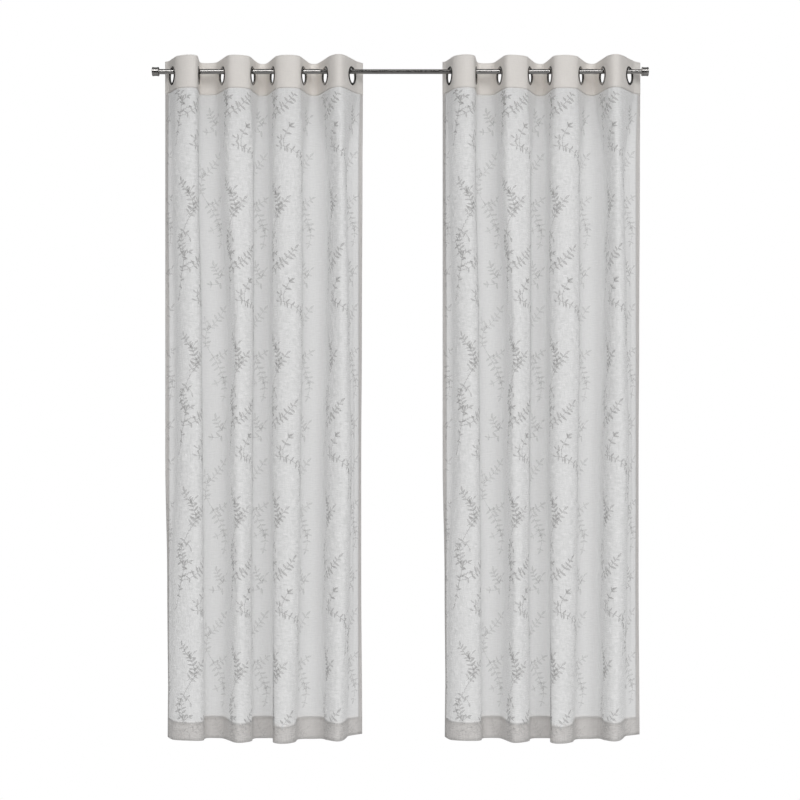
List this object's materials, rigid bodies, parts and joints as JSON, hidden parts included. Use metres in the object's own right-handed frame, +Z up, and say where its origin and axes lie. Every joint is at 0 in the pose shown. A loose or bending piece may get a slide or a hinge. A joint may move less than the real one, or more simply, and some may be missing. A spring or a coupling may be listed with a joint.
{
  "type": "sheer voile curtains on a telescoping rod",
  "caption": "Pair of sheer leaf-patterned voile panels with eyelet rings, hanging in soft folds from a slim metal rod.",
  "frame": {"origin": "middle of the rod's axis, half way between its end caps", "axes": "+X runs to the right along the rod as seen from the room, +Y points to the wall behind, +Z is up"},
  "size_m": [1.554, 0.145, 2.1429],
  "materials": {
    "voile": "sheer slub-weave voile with leafy sprigs",
    "heading_cloth": "plain warm off-white weave",
    "nickel": "satin nickel plate"
  },
  "bodies": {
    "root": {"panel_left": "voile", "panel_right": "voile", "heading_left": "heading_cloth", "heading_right": "heading_cloth", "ring_left_1": "nickel", "ring_left_2": "nickel", "ring_left_3": "nickel", "ring_left_4": "nickel", "ring_left_5": "nickel", "ring_left_6": "nickel", "ring_left_7": "nickel", "ring_left_8": "nickel", "ring_right_1": "nickel", "ring_right_2": "nickel", "ring_right_3": "nickel", "ring_right_4": "nickel", "ring_right_5": "nickel", "ring_right_6": "nickel", "ring_right_7": "nickel", "ring_right_8": "nickel", "rod_outer_left": "nickel", "rod_inner_middle": "nickel", "rod_outer_right": "nickel", "rod_inner_right": "nickel", "cap_left": "nickel", "cap_right": "nickel"}
  },
  "joints": []
}
